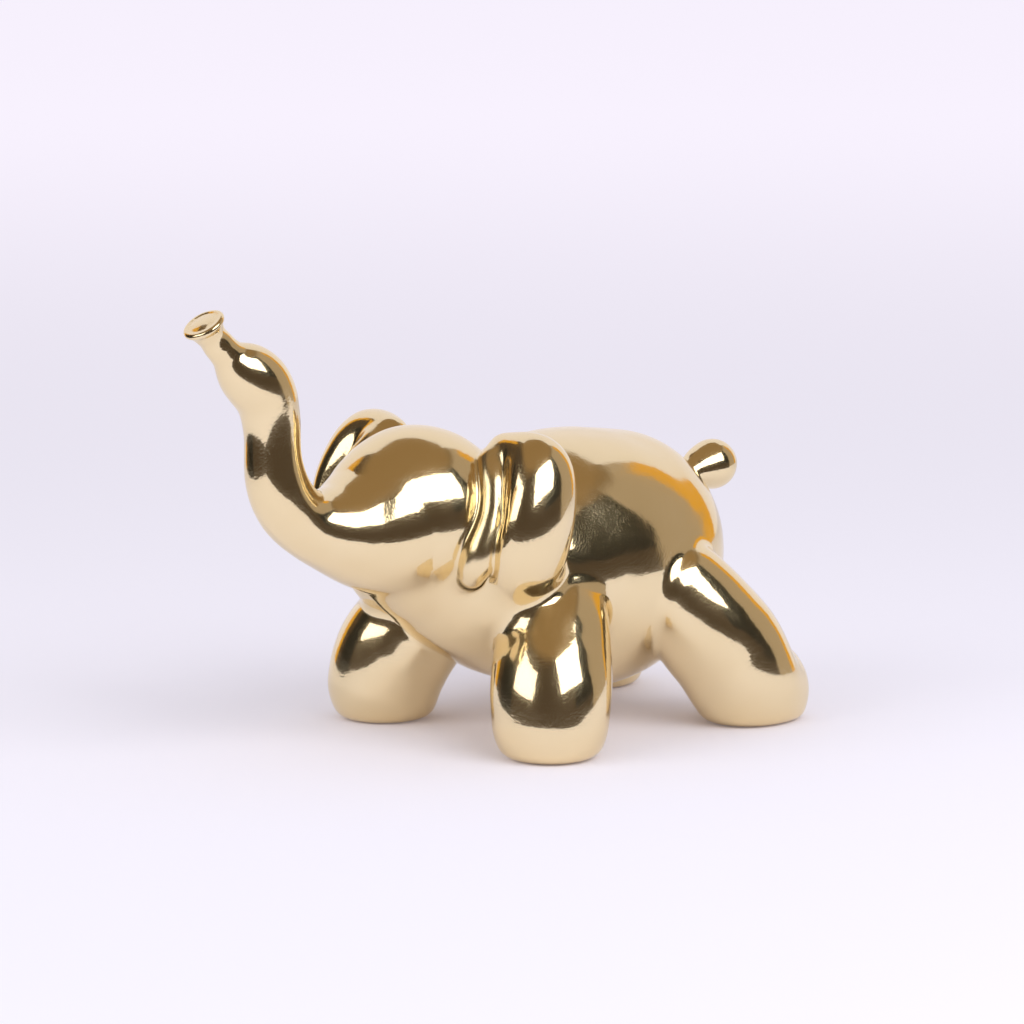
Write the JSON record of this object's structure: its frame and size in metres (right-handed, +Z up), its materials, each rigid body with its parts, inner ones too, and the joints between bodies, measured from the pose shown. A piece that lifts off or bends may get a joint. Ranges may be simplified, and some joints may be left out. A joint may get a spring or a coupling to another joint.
{
  "type": "elephant figurine",
  "caption": "Standing elephant figurine in the style of joined toy balloons, with a raised trunk, splayed legs, folded ears and a knob tail, cast in one piece.",
  "frame": {"origin": "floor level under the middle of the figurine's length and width", "axes": "+Z up, -Y the way the elephant faces, +X its left side"},
  "size_m": [0.128, 0.2396, 0.1559],
  "materials": {
    "gold_glaze": "mirror-bright gold lustre over glaze"
  },
  "bodies": {
    "root": {"elephant_figurine": "gold_glaze"}
  },
  "joints": []
}
